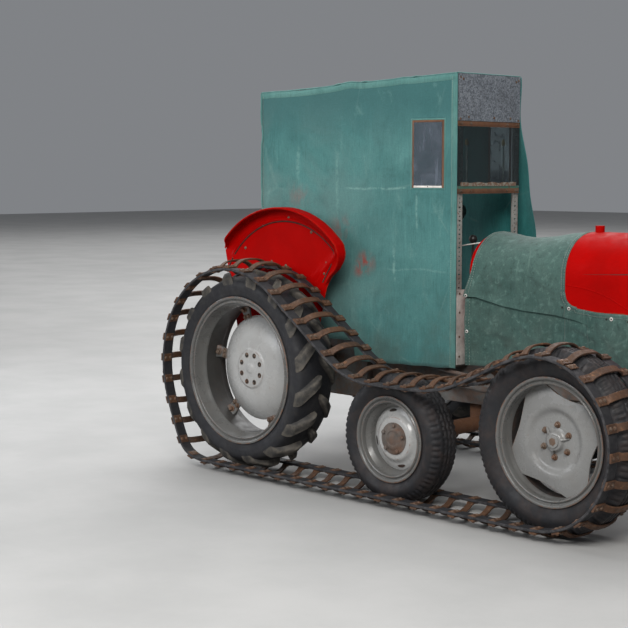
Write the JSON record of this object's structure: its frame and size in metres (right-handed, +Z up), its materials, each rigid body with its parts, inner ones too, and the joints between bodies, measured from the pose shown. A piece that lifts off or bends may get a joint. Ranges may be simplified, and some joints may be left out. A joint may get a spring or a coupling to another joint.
{
  "type": "farm tractor with canvas cab and full-track kit",
  "caption": "Farm tractor on belt-and-cleat tracks that run round its rear, idler and front wheels, with a canvas-covered cab and engine apron.",
  "frame": {"origin": "on the ground, below the middle of the overall length and width", "axes": "+X forward, +Y to the left, +Z up"},
  "size_m": [2.7114, 1.574, 1.874],
  "materials": {
    "canvas": "weathered green canvas",
    "red_paint": "worn gloss red",
    "wheel_grey": "worn grey paint with rust",
    "cast_grey": "painted castings, dusty",
    "tyre_rubber": "aged rubber",
    "belt_rubber": "rubberised belt",
    "cleat_steel": "rusty steel",
    "galvanised": "spangled zinc",
    "aluminium_strip": "dull aluminium",
    "clear_glass": "dusty glass",
    "frame_steel": "dark painted steel",
    "black_rim": "hard black rim"
  },
  "bodies": {
    "chassis": {"track_belts_right": "belt_rubber", "track_belts_left": "belt_rubber", "track_cleats_right": "cleat_steel", "track_cleats_left": "cleat_steel", "engine_block": "cast_grey", "transmission_housing": "cast_grey", "idler_axle": "cleat_steel", "front_axle_beam": "cast_grey", "knuckle_right": "cast_grey", "knuckle_left": "cast_grey", "radius_rods": "cast_grey", "drag_links": "cast_grey", "bonnet": "red_paint", "nose": "red_paint", "grille": "wheel_grey", "filler_cap": "red_paint", "dash_panel": "red_paint", "steering_column": "cast_grey", "steering_wheel": "black_rim", "control_levers": "cast_grey", "seat": "wheel_grey", "footboards": "red_paint", "fender_right": "red_paint", "fender_left": "red_paint", "cab_posts": "galvanised", "cab_rails": "galvanised", "cab_roof": "canvas", "cab_side_right": "canvas", "cab_side_left": "canvas", "head_panel": "galvanised", "windscreen_rails": "cleat_steel", "windscreen_glass": "clear_glass", "window_frames": "frame_steel", "window_panes": "clear_glass", "post_strips": "aluminium_strip", "engine_apron": "canvas", "side_curtains": "canvas", "drawbar": "cast_grey", "pto_shaft": "cast_grey", "top_link_bracket": "cast_grey"},
    "rear_wheel_right": {"wheel_rear_right": "wheel_grey", "tyre_rear_right": "tyre_rubber"},
    "rear_wheel_left": {"wheel_rear_left": "wheel_grey", "tyre_rear_left": "tyre_rubber"},
    "mid_wheel_right": {"wheel_mid_right": "wheel_grey", "tyre_mid_right": "tyre_rubber"},
    "mid_wheel_left": {"wheel_mid_left": "wheel_grey", "tyre_mid_left": "tyre_rubber"},
    "front_wheel_right": {"wheel_front_right": "wheel_grey", "tyre_front_right": "tyre_rubber"},
    "front_wheel_left": {"wheel_front_left": "wheel_grey", "tyre_front_left": "tyre_rubber"}
  },
  "joints": [
    {"name": "rear_wheel_right_spin", "type": "hinge", "parent": "chassis", "child": "rear_wheel_right", "pos_m": [-0.80613, -0.635, 0.5006], "axis": [0, 1, 0], "continuous": true},
    {"name": "rear_wheel_left_spin", "type": "hinge", "parent": "chassis", "child": "rear_wheel_left", "pos_m": [-0.80613, 0.635, 0.5006], "axis": [0, 1, 0], "continuous": true},
    {"name": "mid_wheel_right_spin", "type": "hinge", "parent": "chassis", "child": "mid_wheel_right", "pos_m": [0.13387, -0.635, 0.288], "axis": [0, 1, 0], "continuous": true},
    {"name": "mid_wheel_left_spin", "type": "hinge", "parent": "chassis", "child": "mid_wheel_left", "pos_m": [0.13387, 0.635, 0.288], "axis": [0, 1, 0], "continuous": true},
    {"name": "front_wheel_right_spin", "type": "hinge", "parent": "chassis", "child": "front_wheel_right", "pos_m": [0.97187, -0.635, 0.3835], "axis": [0, 1, 0], "continuous": true},
    {"name": "front_wheel_left_spin", "type": "hinge", "parent": "chassis", "child": "front_wheel_left", "pos_m": [0.97187, 0.635, 0.3835], "axis": [0, 1, 0], "continuous": true}
  ]
}
